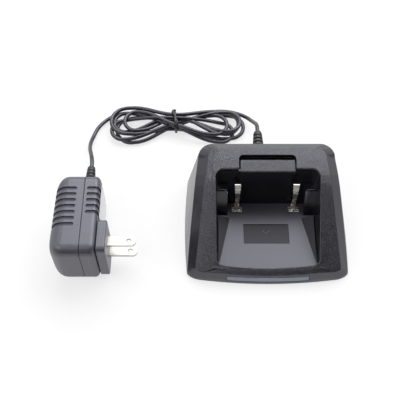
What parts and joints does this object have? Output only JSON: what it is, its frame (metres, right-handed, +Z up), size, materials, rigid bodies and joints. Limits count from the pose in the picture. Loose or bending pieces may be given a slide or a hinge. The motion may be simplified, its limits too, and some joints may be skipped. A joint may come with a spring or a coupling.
{
  "type": "charging cradle",
  "caption": "Desktop charging cradle for a two-way radio, with spring contacts, a light bar, a captive low-voltage cord in a tied hank and a plug-in wall adapter.",
  "frame": {"origin": "centre of the cradle's footprint, on the surface that its feet rest on", "axes": "+X to the right seen from the front, +Z up, and the low front edge with the light bar faces -Y"},
  "size_m": [0.1844, 0.1361, 0.0416],
  "materials": {
    "grained_black": "fine-grained moulded ABS",
    "gloss_black": "smooth moulded, glossy",
    "satin_black": "satin moulded",
    "frosted_clear": "frosted translucent",
    "rubber_black": "matte",
    "nickel": "nickel plated",
    "steel": "zinc plated",
    "aluminium": "extruded",
    "board_green": "solder mask",
    "component_black": "moulded epoxy",
    "capacitor_blue": "sleeved",
    "winding_tape": "taped winding",
    "terminal_white": "moulded nylon",
    "lamp_clear": "clear epoxy",
    "lead_red": "insulated wire",
    "label_pale": "bare label stock",
    "cord_black": "satin PVC"
  },
  "bodies": {
    "charger": {"top_housing": "grained_black", "charging_well": "gloss_black", "clip_tab": "grained_black", "base_cover": "satin_black", "light_bar": "frosted_clear", "circuit_board": "board_green", "filter_capacitor_left": "capacitor_blue", "filter_capacitor_right": "capacitor_blue", "filter_coil": "component_black", "charge_controller": "component_black", "pass_transistor": "component_black", "heat_sink": "aluminium", "cord_terminal": "terminal_white", "status_lamp_left": "lamp_clear", "status_lamp_right": "lamp_clear", "cradle_strain_relief": "rubber_black", "input_lead_plus": "lead_red", "input_lead_minus": "component_black", "adapter_rear_shell": "satin_black", "adapter_front_shell": "satin_black", "plug_block": "satin_black", "rating_label": "label_pale", "blade_lower": "nickel", "blade_upper": "nickel", "blade_lead_lower": "steel", "blade_lead_upper": "steel", "adapter_board": "board_green", "transformer": "winding_tape", "mains_capacitor": "capacitor_blue", "output_capacitor": "capacitor_blue", "bridge_rectifier": "component_black", "output_lead": "component_black", "adapter_strain_relief": "rubber_black", "cord_from_cradle": "cord_black", "cord_to_adapter": "cord_black", "cord_hank": "cord_black", "cord_tie": "satin_black", "foot_front_left": "rubber_black", "housing_screw_front_left": "steel", "foot_front_right": "rubber_black", "housing_screw_front_right": "steel", "foot_rear_left": "rubber_black", "housing_screw_rear_left": "steel", "foot_rear_right": "rubber_black", "housing_screw_rear_right": "steel", "contact_foot_left": "nickel", "contact_screw_left": "nickel", "contact_foot_right": "nickel", "contact_screw_right": "nickel"},
    "contact_left": {"contact_leaf_left": "nickel"},
    "contact_right": {"contact_leaf_right": "nickel"}
  },
  "joints": [
    {"name": "contact_flex_left", "type": "hinge", "parent": "charger", "child": "contact_left", "pos_m": [-0.0181, 0.0103, 0.0112], "axis": [-1, 0, 0], "range_deg": [0, 8], "stiffness_Nm_per_rad": 0.1},
    {"name": "contact_flex_right", "type": "hinge", "parent": "charger", "child": "contact_right", "pos_m": [0.0181, 0.0103, 0.0112], "axis": [-1, 0, 0], "range_deg": [0, 8], "stiffness_Nm_per_rad": 0.1}
  ]
}
